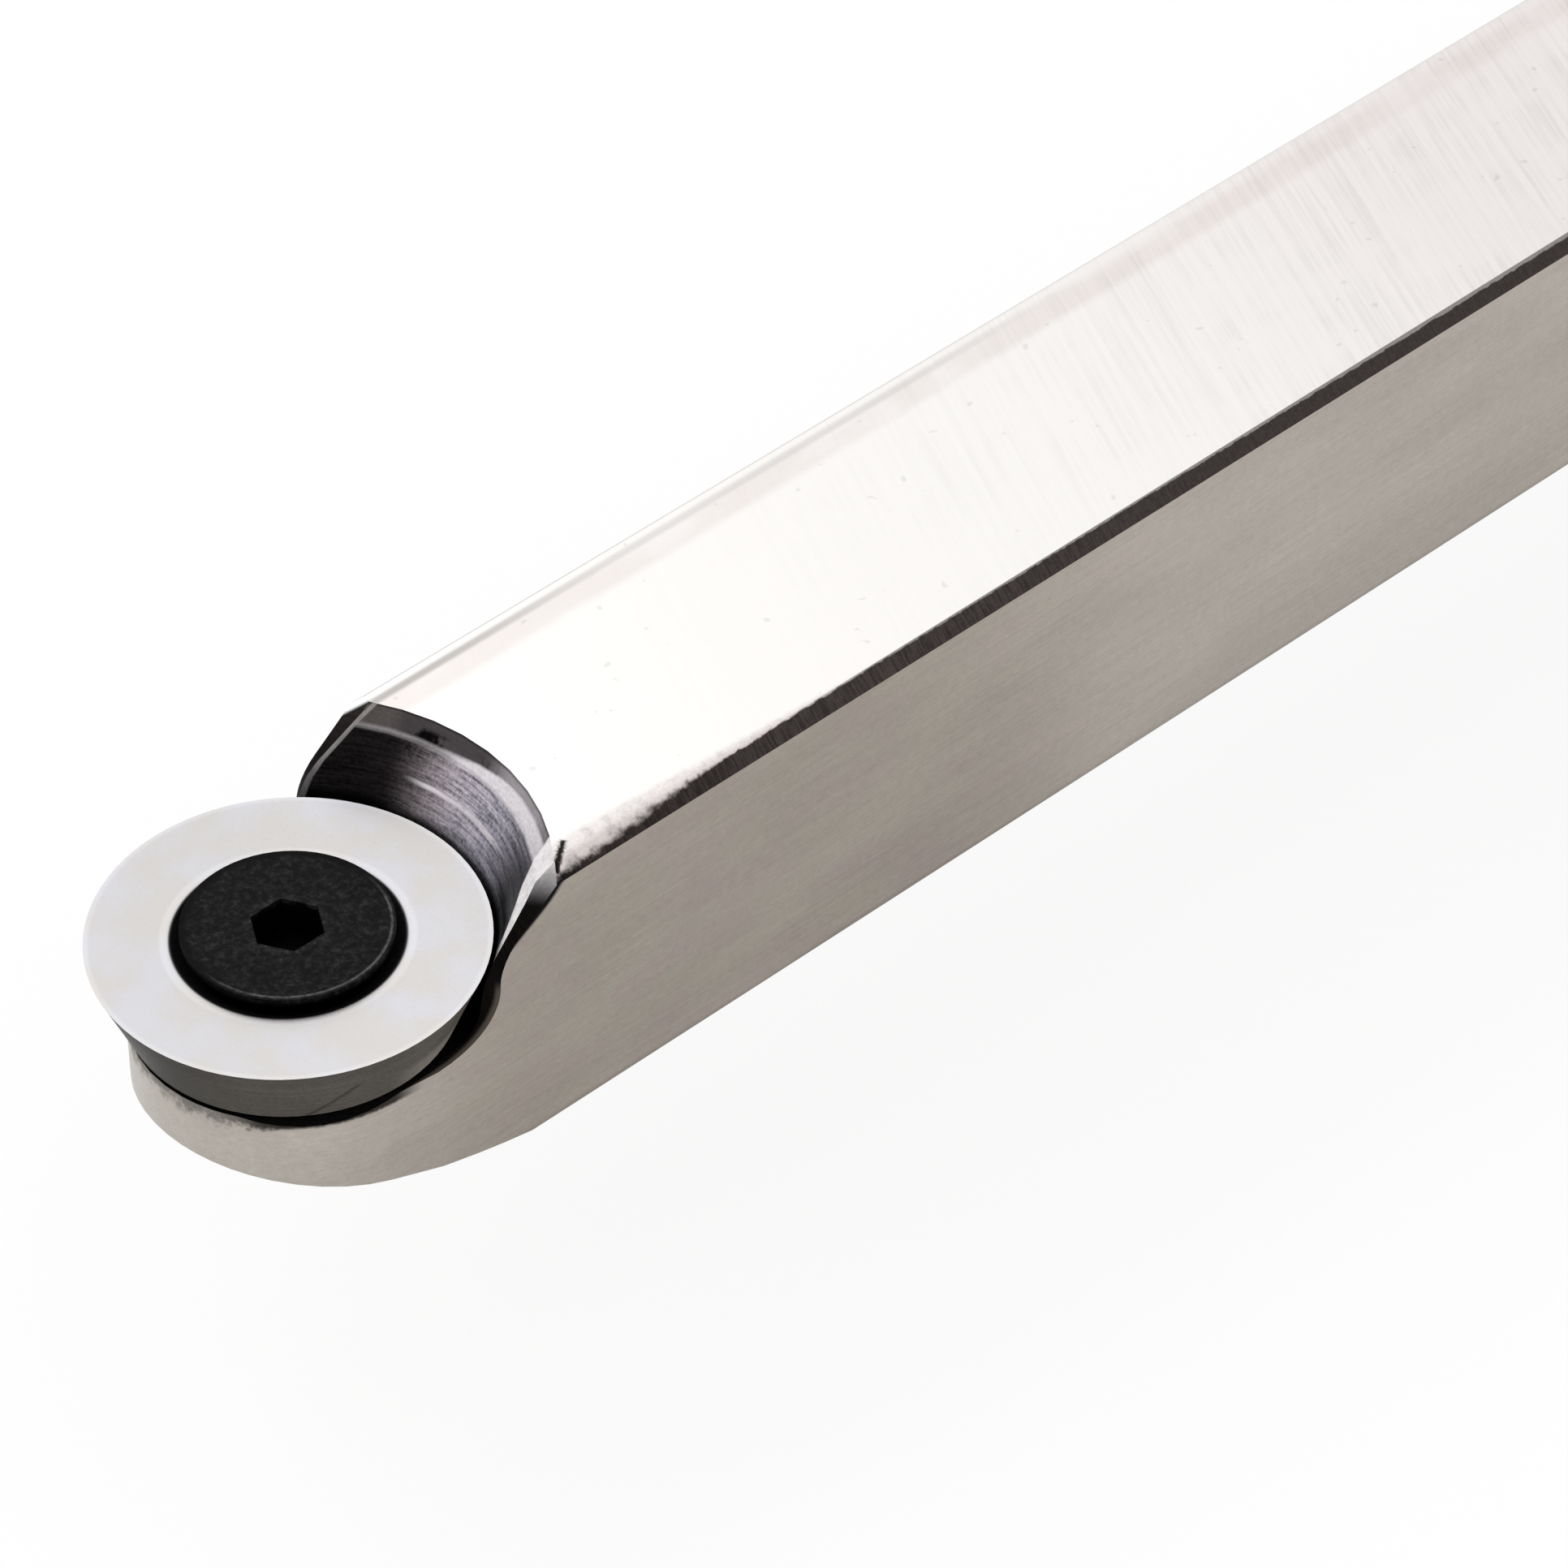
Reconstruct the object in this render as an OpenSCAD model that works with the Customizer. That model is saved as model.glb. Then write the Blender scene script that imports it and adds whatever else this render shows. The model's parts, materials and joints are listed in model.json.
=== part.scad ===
// Woodturning hollowing tool: a square steel bar with a round indexable cutter on its nose,
// held by its round tang in the socket of a turned wooden handle.
// The bar runs along X with the cutter at the -X end. The origin is under the middle of the
// tool, at the height of the handle's belly.

/* [Bar] */
// Width across the flats of the square bar
bar_w = 12.7; // [12:0.1:15]
// Leg of the chamfer along the two upper long edges
bar_edge = 0.53; // [0.3:0.01:0.9]
// Leg of the chamfer along the two lower long edges
foot_edge = 0.7; // [0.3:0.05:0.9]
// From the cutter's axis to the shoulder that seats on the socket
bar_reach = 190; // [120:1:300]
// Radius of the rounded nose about the cutter's axis
nose_r = 6.15; // [5.9:0.05:6.3]
// Angle at which the nose's flanks spread to the bar's sides
nose_flare = 6; // [4:1:12]
// Width of the facet filed on each side of the nose's rim, at its middle
rim_facet = 0.7; // [0.4:0.05:0.8]
// Slope of that facet, in degrees
rim_facet_slope = 22; // [15:1:30]
// Direction of its middle, in degrees from the bar's length
rim_facet_angle = 118; // [105:1:130]
// Slope of the relief ground under the nose, in degrees
nose_relief = 16.5; // [10:0.5:18]
// Radius of the curve by which the relief leaves the underside
relief_curve = 40; // [20:1:60]
// Where that curve leaves the underside, behind the cutter's axis
relief_start = 13.4; // [10:0.1:16]

/* [Cutter pocket] */
// Depth of the cutting face below the top of the bar
face_drop = 2.575; // [2:0.025:3.2]
// How far the foot of the pocket wall tucks in under the cutting edge
pocket_tuck = 0.15; // [0:0.01:0.25]
// Fillet between the pocket's floor and its wall
pocket_fillet = 1.15; // [0.9:0.05:1.15]
// Radius of the curve by which the wall leans outwards
wall_curve = 5.6; // [5:0.1:6]
// Lean of the upper wall away from upright, in degrees
wall_lean = 34; // [30:1:37]
// Height of the bevel along the wall's rim
rim_bevel_h = 0.575; // [0.3:0.025:0.7]
// Width of the bevel along the wall's rim
rim_bevel_w = 0.7; // [0.5:0.05:0.9]
// How far the pocket's centre lies behind the cutter's axis
pocket_back = 0.3; // [0:0.05:0.5]
// How far the pocket's centre lies to the far side of the cutter's axis
pocket_side = 0.4; // [-0.5:0.05:0.5]

/* [Shoulder break] */
// Width by which the sharp corners beside the pocket are broken
break_w = 0.35; // [0.3:0.05:0.6]
// Direction of the broken corner, in degrees from the bar's length
break_angle = 37; // [30:1:45]
// Fillet of the break where it runs out on the floor
break_fillet = 2.2; // [1.8:0.1:2.4]
// Radius of the curve by which the break leans back
break_curve = 2.6; // [2.2:0.1:3]
// Lean of the upper break away from upright, in degrees
break_lean = 48; // [44:1:52]
// Radius of the break at the level of its upright stretch
break_r = 7; // [6.5:0.1:7.5]

/* [Cutter] */
// Diameter of the round cutting edge
cutter_d = 15; // [14:0.1:16]
// Thickness of the cutter
cutter_t = 3.5; // [3:0.1:4]
// Clearance angle of the cutter's side, in degrees
cutter_relief = 22; // [15:1:25]
// Chamfer around the cutter's lower face
cutter_foot = 0.4; // [0.4:0.05:0.6]
// Diameter of the hole for the screw's shank
cutter_hole_d = 4.6; // [4.4:0.1:5]
// Diameter of the sink at the cutting face
sink_d = 8.6; // [8.4:0.1:9.2]
// Depth of the sink above the conical seat
sink_depth = 0.45; // [0.3:0.05:0.6]
// Slope-in of the sink's side from the face to its bottom
sink_taper = 0.6; // [0.4:0.05:0.7]

/* [Cutter screw] */
// Thread diameter of the cutter screw
screw_d = 4; // [3.5:0.1:4.2]
// Diameter of its countersunk head
head_d = 7.95; // [7.6:0.05:8.2]
// Height of the head's upright rim
head_rim = 0.3; // [0.2:0.05:0.4]
// Height of the head above the cutting face
head_proud = 0.56; // [0.5:0.02:0.8]
// Length of the screw over its head
screw_len = 8; // [7:0.1:8.5]
// Width across the flats of its hexagon socket
screw_hex = 2.5; // [2:0.1:3]
// Depth of its hexagon socket
screw_hex_depth = 1.5; // [1:0.1:1.8]

/* [Tang and socket] */
// Length of the bar's round tang
tang_len = 62; // [50:1:72]
// How far the tang is turned below the flats of the bar
tang_relief = 0.05; // [0.05:0.05:0.5]
// Depth of the flat along the tang under the set screws
flat_depth = 0.8; // [0.5:0.1:1.2]
// Width across the flats of the hexagonal collar
collar_flats = 28; // [27.5:0.5:32]
// Length of the hexagonal collar
collar_len = 28; // [27:1:36]
// Length of the round flange between the collar and the handle
flange_len = 4; // [3:0.5:6]
// Wall of the spigot around the bore
spigot_wall = 3; // [2.5:0.1:3.5]
// Thickness of the spigot behind the bore
spigot_end = 8; // [4:1:12]
// Room between the tang's end and the bottom of the bore
bore_room = 4; // [2:0.5:6]
// Chamfer at the mouth, at the flange and at the tang's end
turned_edge = 1; // [0.5:0.1:1.5]

/* [Set screws] */
// Thread diameter of the set screws
set_d = 6; // [5:0.5:6]
// Length of a set screw
set_len = 8; // [7:0.1:8]
// Width across the flats of their hexagon sockets
set_hex = 3; // [2.5:0.1:3]
// Depth of their hexagon sockets
set_hex_depth = 3; // [2:0.1:3.5]
// From the socket's mouth to the front set screw
set_lead = 9; // [7:0.5:10]
// Distance between the two set screws
set_pitch = 14; // [12:0.5:15]

/* [Handle] */
// Length of the wooden handle
handle_len = 320; // [280:1:400]
// Diameter of the handle's swell, its widest place
swell_d = 37; // [35:0.5:42]
// Diameter of the waist behind the swell
waist_d = 28; // [26:0.5:32]
// Diameter of the butt
butt_d = 34; // [32:0.5:36]
// Diameter of the wooden tenon inside the ferrule
tenon_d = 25; // [24:0.5:26]
// Wall of the brass ferrule
ferrule_wall = 1.75; // [1.5:0.05:2.5]
// Length of the brass ferrule
ferrule_len = 22; // [18:1:28]
// Depth and half width of the grooves turned in the wood
wood_groove = 0.9; // [0.5:0.1:1.2]

/* [Fits] */
// Radial clearance of everything that turns or slides
run_fit = 0.05; // [0.02:0.01:0.1]
// Radial room for the glue around the spigot and the tenon
glue_gap = 0.05; // [0.02:0.01:0.1]

/* [Hidden] */

$fn = 96;
HEX = 6;
PAST = 1;
half_w = bar_w / 2;
side_w = half_w - bar_edge;
foot_w = half_w - foot_edge;

// Cutter and pocket levels, above the bar's centre line
face_z = half_w - face_drop;
floor_z = face_z - cutter_t;
pocket_h = face_drop + cutter_t;
cutter_r = cutter_d / 2;
pocket_r = cutter_r - pocket_tuck;

// Screw levels, above the cutting face
head_r = head_d / 2;
screw_r = screw_d / 2;
head_cone_z = head_proud - head_rim;
seat_r = head_r - head_cone_z + run_fit * sqrt(2);

// Tang and socket, along X from the socket's mouth
tang_r = half_w - tang_relief;
bore_r = tang_r + run_fit;
flat_z = tang_r - flat_depth;
spigot_r = bore_r + spigot_wall;
bore_len = tang_len + bore_room;
head_len = collar_len + flange_len;
spigot_len = bore_len + spigot_end - head_len;
set_r = set_d / 2;
set_foot_z = flat_z + run_fit;

// Handle, along X from its front face
handle_x = bar_reach + head_len;
ferrule_r = tenon_d / 2 + glue_gap + ferrule_wall;
wood_bore_len = spigot_len + bore_room;

// The frame: middle of the length, and the handle's belly at zero height
whole_len = cutter_r + handle_x + handle_len;
tip_x = cutter_r - whole_len / 2;
axis_z = swell_d / 2;

// Stations of the handle's outline: share of the length behind the ferrule, and diameter
wood_len = handle_len - ferrule_len;
stations = [
  [0, ferrule_r * 2 + 1],
  [0.1, ferrule_r * 2 + 1.5],
  [0.36, swell_d],
  [0.72, waist_d],
  [0.94, butt_d],
  [1, butt_d * 0.72]
];
STEPS = 14;
butt_from = len(stations) - 2;

// Smooth step between two stations: level at both, and a quarter ellipse at the butt
function ease(t) = (1 - cos(180 * t)) / 2;
function round_off(t) = 1 - sqrt(1 - t * t);
function blend(i, t) = i == butt_from ? round_off(t) : ease(t);
function outline_point(i, t) = [
  (stations[i][1] + (stations[i + 1][1] - stations[i][1]) * blend(i, t)) / 2,
  ferrule_len + wood_len * (stations[i][0] + (stations[i + 1][0] - stations[i][0]) * t)
];

// Radius of a leaning wall at height z over its floor
function lean_r(foot, fillet, curve, z) = foot + curve - sqrt(curve * curve - pow(z - fillet, 2));

// Puts a piece drawn about the bar's centre line and the cutter's axis into the frame
module placed() {
  translate([tip_x, 0, axis_z]) children();
}

// A turned shape whose axis lies along X, drawn with its length along Z
module along_x(x) {
  translate([x, 0, 0]) rotate([0, 90, 0]) children();
}

// Section of a round pocket: floor, fillet, curve and straight lean, open at the top
module pocket_section(foot, fillet, curve, lean, height) {
  lean_h = curve * sin(lean);
  lean_w = curve * (1 - cos(lean));
  rest_h = height - fillet - lean_h;
  square([foot - fillet, height]);
  translate([foot - fillet, fillet]) circle(fillet);
  translate([0, fillet]) square([foot, height - fillet]);
  translate([0, fillet]) difference() {
    square([foot + lean_w, lean_h]);
    translate([foot + curve, 0]) circle(curve);
  }
  translate([0, fillet + lean_h])
    polygon([[0, 0], [foot + lean_w, 0], [foot + lean_w + rest_h * tan(lean), rest_h], [0, rest_h]]);
}

// Square bar with chamfered long edges
module square_stock(from_x, to_x) {
  translate([from_x, 0, 0]) rotate([90, 0, 90]) linear_extrude(to_x - from_x)
    polygon([
      [-foot_w, -half_w], [foot_w, -half_w], [half_w, -foot_w], [half_w, side_w],
      [side_w, half_w], [-side_w, half_w], [-half_w, side_w], [-half_w, -foot_w]
    ]);
}

// What lies outside the round nose and the flanks that leave it at a tangent
module nose_waste() {
  from_x = -nose_r * sin(nose_flare);
  from_y = nose_r * cos(nose_flare);
  to_y = (nose_r + bar_w * sin(nose_flare)) / cos(nose_flare);
  difference() {
    translate([-bar_w, -bar_w, -bar_w]) cube([bar_w + half_w, 2 * bar_w, 2 * bar_w]);
    translate([0, 0, -bar_w - PAST]) linear_extrude(2 * (bar_w + PAST)) {
      circle(nose_r);
      polygon([[from_x, -from_y], [bar_w, -to_y], [bar_w, to_y], [from_x, from_y]]);
    }
  }
}

// The facet filed on one side of the nose's rim, below the pocket's floor
module facet_waste(side) {
  length = 1.2 * nose_r;
  rotate(side * rim_facet_angle) translate([nose_r - rim_facet, -length / 2, floor_z])
    rotate([0, rim_facet_slope, 0]) translate([-rim_facet / 2, 0, 0])
      cube([2 * rim_facet, length, rim_facet]);
}

// What is ground away under the nose: a curve out of the underside, then a straight slope
module relief_waste() {
  curve_x = relief_start - relief_curve * sin(nose_relief);
  curve_z = relief_curve * (1 - cos(nose_relief));
  far_x = curve_x - 2 * bar_w;
  far_z = curve_z + 2 * bar_w * tan(nose_relief);
  translate([0, bar_w, -half_w]) rotate([90, 0, 0]) linear_extrude(2 * bar_w) difference() {
    translate([-bar_w, -PAST]) square([bar_w + relief_start, PAST + half_w]);
    translate([relief_start, relief_curve]) circle(relief_curve);
    polygon([[curve_x, curve_z], [far_x, far_z], [far_x, bar_w], [curve_x, bar_w]]);
  }
}

// The round pocket with its rim bevel, above the floor
module pocket_waste() {
  above = pocket_h + PAST;
  rim_z = pocket_h - rim_bevel_h;
  curve_top = pocket_fillet + wall_curve * sin(wall_lean);
  rim_r = lean_r(pocket_r, pocket_fillet, wall_curve, curve_top) + (rim_z - curve_top) * tan(wall_lean);
  slope = rim_bevel_w / rim_bevel_h;
  translate([pocket_back, pocket_side, floor_z]) {
    rotate_extrude() pocket_section(pocket_r, pocket_fillet, wall_curve, wall_lean, above);
    translate([0, 0, rim_z])
      cylinder(r1 = rim_r, r2 = rim_r + slope * (above - rim_z), h = above - rim_z);
  }
}

// The break of one sharp corner between the pocket's wall and a side face
module shoulder_waste(side) {
  wall_r = lean_r(pocket_r, pocket_fillet, wall_curve, cutter_t);
  break_face_r = lean_r(break_r, break_fillet, break_curve, cutter_t);
  inner_y = half_w - break_w;
  corner_x = pocket_back + sqrt(wall_r * wall_r - pow(inner_y - side * pocket_side, 2));
  mid_y = half_w - break_w / 2;
  mid_x = corner_x + break_w / 2 * tan(break_angle);
  x = mid_x - break_face_r * cos(break_angle);
  y = side * (mid_y + break_face_r * sin(break_angle));
  translate([x, y, floor_z])
    rotate_extrude() pocket_section(break_r, break_fillet, break_curve, break_lean, pocket_h + PAST);
}

module tool_bar() {
  tang_end = bar_reach + tang_len;
  color([0.72, 0.70, 0.67]) placed() difference() {
    union() {
      square_stock(-bar_w, bar_reach);
      along_x(bar_reach - PAST) cylinder(r = tang_r, h = tang_len + PAST - turned_edge);
      along_x(tang_end - turned_edge) cylinder(r1 = tang_r, r2 = tang_r - turned_edge, h = turned_edge);
    }
    nose_waste();
    facet_waste(-1);
    facet_waste(1);
    relief_waste();
    pocket_waste();
    shoulder_waste(-1);
    shoulder_waste(1);
    translate([0, 0, -bar_w]) cylinder(r = screw_r + run_fit, h = 2 * bar_w);
    translate([bar_reach, -bar_w, flat_z]) cube([tang_len + PAST, 2 * bar_w, bar_w]);
  }
}

module cutter() {
  foot_r = cutter_r - cutter_t * tan(cutter_relief);
  foot_z = -cutter_t;
  foot_wall_r = foot_r + cutter_foot * tan(cutter_relief);
  sink_r = sink_d / 2;
  seat_top_r = seat_r - sink_depth;
  hole_r = cutter_hole_d / 2;
  seat_foot_z = -seat_r + hole_r;
  color([0.86, 0.86, 0.85]) placed() translate([0, 0, face_z]) rotate_extrude() polygon([
    [hole_r, foot_z], [foot_r - cutter_foot, foot_z], [foot_wall_r, foot_z + cutter_foot],
    [cutter_r, 0], [sink_r, 0], [sink_r - sink_taper, -sink_depth],
    [seat_top_r, -sink_depth], [hole_r, seat_foot_z]
  ]);
}

module cutter_screw() {
  shank_end = head_proud - screw_len;
  point = screw_r / 4;
  color([0.13, 0.13, 0.14]) placed() translate([0, 0, face_z]) difference() {
    rotate_extrude() polygon([
      [0, shank_end], [screw_r - point, shank_end], [screw_r, shank_end + point],
      [screw_r, head_cone_z - head_r + screw_r], [head_r, head_cone_z], [head_r, head_proud], [0, head_proud]
    ]);
    translate([0, 0, head_proud - screw_hex_depth])
      cylinder(d = screw_hex / cos(30), h = screw_hex_depth + PAST, $fn = HEX);
  }
}

module bar_socket() {
  corner_r = collar_flats / (2 * cos(30));
  color([0.62, 0.63, 0.65]) placed() difference() {
    union() {
      intersection() {
        along_x(bar_reach) rotate(30) cylinder(r = corner_r, h = collar_len, $fn = HEX);
        along_x(bar_reach) rotate_extrude() polygon([
          [0, 0], [collar_flats / 2 - turned_edge, 0], [corner_r, corner_r - collar_flats / 2 + turned_edge],
          [corner_r, collar_len], [0, collar_len]
        ]);
      }
      along_x(bar_reach + collar_len) rotate_extrude() polygon([
        [0, -PAST], [ferrule_r - turned_edge, -PAST], [ferrule_r - turned_edge, 0],
        [ferrule_r, turned_edge], [ferrule_r, flange_len], [0, flange_len]
      ]);
      along_x(bar_reach + collar_len) cylinder(r = spigot_r, h = flange_len + spigot_len);
    }
    along_x(bar_reach - PAST) cylinder(r = bore_r, h = bore_len + PAST);
    for (x = [set_lead, set_lead + set_pitch]) translate([bar_reach + x, 0, 0])
      cylinder(r = set_r + run_fit, h = collar_flats / 2 + PAST);
  }
}

// A set screw with a cup point, standing on the tang's flat
module set_screw(x) {
  point = set_r / 5;
  cup_r = set_r / 2;
  color([0.16, 0.16, 0.17]) placed() translate([bar_reach + x, 0, set_foot_z]) difference() {
    rotate_extrude() polygon([
      [0, cup_r / 2], [cup_r, 0], [set_r - point, 0], [set_r, point],
      [set_r, set_len - point], [set_r - point, set_len], [0, set_len]
    ]);
    translate([0, 0, set_len - set_hex_depth])
      cylinder(d = set_hex / cos(30), h = set_hex_depth + PAST, $fn = HEX);
  }
}

module front_set_screw() {
  set_screw(set_lead);
}

module rear_set_screw() {
  set_screw(set_lead + set_pitch);
}

module ferrule() {
  edge = ferrule_wall / 3;
  inner = tenon_d / 2 + glue_gap;
  color([0.80, 0.64, 0.32]) placed() along_x(handle_x) rotate_extrude() polygon([
    [inner, 0], [ferrule_r - edge, 0], [ferrule_r, edge],
    [ferrule_r, ferrule_len - edge], [ferrule_r - edge, ferrule_len], [inner, ferrule_len]
  ]);
}

// One V groove turned around the wood at radius r
module groove_ring(r, z) {
  translate([r, z]) rotate(45) square(wood_groove * sqrt(2), center = true);
}

module handle() {
  curve = [
    for (i = [0 : butt_from])
      for (k = [(i == 0 ? 0 : 1) : STEPS]) outline_point(i, k / STEPS)
  ];
  groove_r = stations[1][1] / 2;
  groove_z = ferrule_len + wood_len * stations[1][0];
  butt_z = ferrule_len + wood_len * stations[butt_from][0];
  color([0.78, 0.62, 0.42]) placed() along_x(handle_x) rotate_extrude() difference() {
    polygon(concat([[0, 0], [tenon_d / 2, 0], [tenon_d / 2, ferrule_len]], curve, [[0, handle_len]]));
    square([spigot_r + glue_gap, wood_bore_len]);
    for (i = [-1 : 1]) groove_ring(groove_r, groove_z + i * 3 * wood_groove);
    groove_ring(butt_d / 2, butt_z);
  }
}

tool_bar();
cutter();
cutter_screw();
bar_socket();
front_set_screw();
rear_set_screw();
ferrule();
handle();
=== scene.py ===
"""Looks for the woodturning hollowing tool: materials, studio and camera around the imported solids.

Lengths in this script are millimetres unless a name says otherwise. Places on the tip are counted
from the middle of the cutting face: X back along the bar, -Y to the side that the photograph shows,
Z up out of the face. Angles round the pocket are in radians, from +X towards +Y.
"""

import json
import math

import bpy
from mathutils import Matrix, Vector


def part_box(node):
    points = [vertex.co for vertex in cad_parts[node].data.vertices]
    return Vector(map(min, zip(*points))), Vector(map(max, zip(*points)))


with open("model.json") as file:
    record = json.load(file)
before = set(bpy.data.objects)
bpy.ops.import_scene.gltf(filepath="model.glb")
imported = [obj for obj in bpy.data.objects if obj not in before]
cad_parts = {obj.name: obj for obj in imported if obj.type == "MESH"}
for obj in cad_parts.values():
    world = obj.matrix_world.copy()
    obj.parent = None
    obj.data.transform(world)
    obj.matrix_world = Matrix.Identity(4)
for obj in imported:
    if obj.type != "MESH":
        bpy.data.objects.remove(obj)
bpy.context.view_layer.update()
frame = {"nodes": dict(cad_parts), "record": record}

MM = 0.001


def srgb(red, green, blue):
    """A colour given as it shows on a screen, from 0 to 255, as the shader's own numbers."""
    def linear(level):
        level = level / 255
        return level / 12.92 if level <= 0.04045 else ((level + 0.055) / 1.055) ** 2.4
    return (linear(red), linear(green), linear(blue), 1.0)


# Where things are

cutter_low, cutter_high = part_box("cutter")
FACE = Vector(((cutter_low.x + cutter_high.x) / 2, 0, cutter_high.z))
bar_low, bar_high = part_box("tool_bar")
handle_low, handle_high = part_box("handle")
AXIS = Vector((FACE.x, 0, (handle_low.z + handle_high.z) / 2))

# The cutter, the hole in it and the head of its screw
CUTTER_R = (cutter_high.x - cutter_low.x) / 2 / MM
SINK_R = 4.3
HEAD_R = 3.82
HEAD_TOP_Z = 0.55
HEX_R = 1.22

# The pocket's floor, the bar and its broken edges, and how far back the tip's own paints reach
FLOOR_Z = (cutter_low.z - cutter_high.z) / MM
HALF_W = (bar_high.z - bar_low.z) / 2 / MM
TOP_Z = (bar_high.z - cutter_high.z) / MM
UNDER_Z = TOP_Z - 2 * HALF_W
EDGE_Y = HALF_W - 0.53
TIP_END_X = 13.0

# The pocket's axis, the rim's bevel, the painted highlight line on the wall and where the wall ends
# sideways
POCKET_X, POCKET_Y = 0.3, 0.4
RIM_Z = TOP_Z - 0.575
CURVE_Z = 0.78
WALL_END_Y = 6.0

# Marks near the tip: the scratch beside the shoulder, and the dark spots on the rim
SLASH_X, SLASH_Y = 8.9, -5.35
BLOB_ANGLE, SECOND_BLOB_ANGLE = 0.255, -0.04

# The wood's pith, from the handle's axis, and the width of its growth rings
PITH_Y, PITH_Z = -46.0, -13.0
RING_WIDTH = 2.6


# Materials

class Graph:
    """The nodes of one material or world. Calls add nodes, and nearly all return a socket."""

    def __init__(self, owner):
        owner.use_nodes = True
        self.owner = owner
        self.tree = owner.node_tree
        self.tree.nodes.clear()

    def add(self, kind, values, output=0, **settings):
        """A node with these inputs, each a linked socket or a value of its own."""
        node = self.tree.nodes.new(kind)
        for key, setting in settings.items():
            setattr(node, key, setting)
        for key, value in values.items():
            if isinstance(value, bpy.types.NodeSocket):
                self.tree.links.new(value, node.inputs[key])
            else:
                node.inputs[key].default_value = value
        return node.outputs[output] if len(node.outputs) else None

    def math(self, operation, *values):
        return self.add("ShaderNodeMath", dict(enumerate(values)), operation=operation)

    def product(self, first, *others):
        for other in others:
            first = self.math("MULTIPLY", first, other)
        return first

    def total(self, first, *others):
        for other in others:
            first = self.math("ADD", first, other)
        return first

    def minus(self, first, second):
        return self.math("SUBTRACT", first, second)

    def inverse(self, value):
        return self.minus(1.0, value)

    def most(self, first, *others):
        for other in others:
            first = self.math("MAXIMUM", first, other)
        return first

    def ramp(self, value, start, end, low=0.0, high=1.0):
        """low up to start, high from end on, and a smooth step between them."""
        values = {"Value": value, "From Min": start, "From Max": end, "To Min": low, "To Max": high}
        return self.add("ShaderNodeMapRange", values, interpolation_type="SMOOTHSTEP")

    def vary(self, noise, low, high):
        """low to high over the middle part of a noise."""
        return self.ramp(noise, 0.3, 0.7, low, high)

    def near(self, value, middle, half, soft):
        """1 within half of the middle, 0 farther off than half and soft."""
        return self.ramp(self.math("ABSOLUTE", self.minus(value, middle)), half + soft, half)

    def vector(self, operation, *values, output=0):
        values = dict(enumerate(values))
        return self.add("ShaderNodeVectorMath", values, output, operation=operation)

    def scale(self, vector, level):
        return self.add("ShaderNodeVectorMath", {0: vector, "Scale": level}, operation="SCALE")

    def stretch(self, vector, x, y, z):
        return self.vector("MULTIPLY", vector, (x, y, z))

    def length(self, x, y, z):
        return self.vector("LENGTH", self.join(x, y, z), output="Value")

    def split(self, vector):
        """The vector's three parts."""
        return tuple(self.add("ShaderNodeSeparateXYZ", {0: vector}).node.outputs)

    def join(self, x, y, z):
        return self.add("ShaderNodeCombineXYZ", {0: x, 1: y, 2: z})

    def mix(self, factor, first, second):
        return self.add("ShaderNodeMix", {0: factor, 6: first, 7: second}, 2, data_type="RGBA")

    def layers(self, color, *layers):
        """Paints laid over a colour in turn, each given as its mask and its colour."""
        for mask, paint in layers:
            color = self.mix(mask, color, paint)
        return color

    def tint(self, color, level):
        """A colour made brighter or darker by a level around 1."""
        return self.scale(color[:3] if isinstance(color, tuple) else color, level)

    def noise(self, vector, scale=1.0, detail=2.0, roughness=0.5):
        return self.add("ShaderNodeTexNoise", {"Vector": vector, "Scale": scale, "Detail": detail,
                                               "Roughness": roughness})

    def place(self, origin):
        """Object coordinates in millimetres from origin."""
        coords = self.add("ShaderNodeTexCoord", {}, "Object")
        return self.scale(self.vector("SUBTRACT", coords, tuple(origin)), 1 / MM)

    def normal(self):
        return self.add("ShaderNodeTexCoord", {}, "Normal")

    def bump(self, height, strength, distance):
        return self.add("ShaderNodeBump", {"Height": height, "Strength": strength,
                                           "Distance": distance * MM})

    def finish(self, **inputs):
        """Principled shader with these inputs, on the material's output."""
        keys = {"color": "Base Color", "metallic": "Metallic", "roughness": "Roughness",
                "normal": "Normal", "specular": "Specular IOR Level", "coat": "Coat Weight",
                "coat_roughness": "Coat Roughness"}
        values = {keys[key]: value for key, value in inputs.items()}
        shader = self.add("ShaderNodeBsdfPrincipled", values)
        self.add("ShaderNodeOutputMaterial", {"Surface": shader})
        return self.owner


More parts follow.
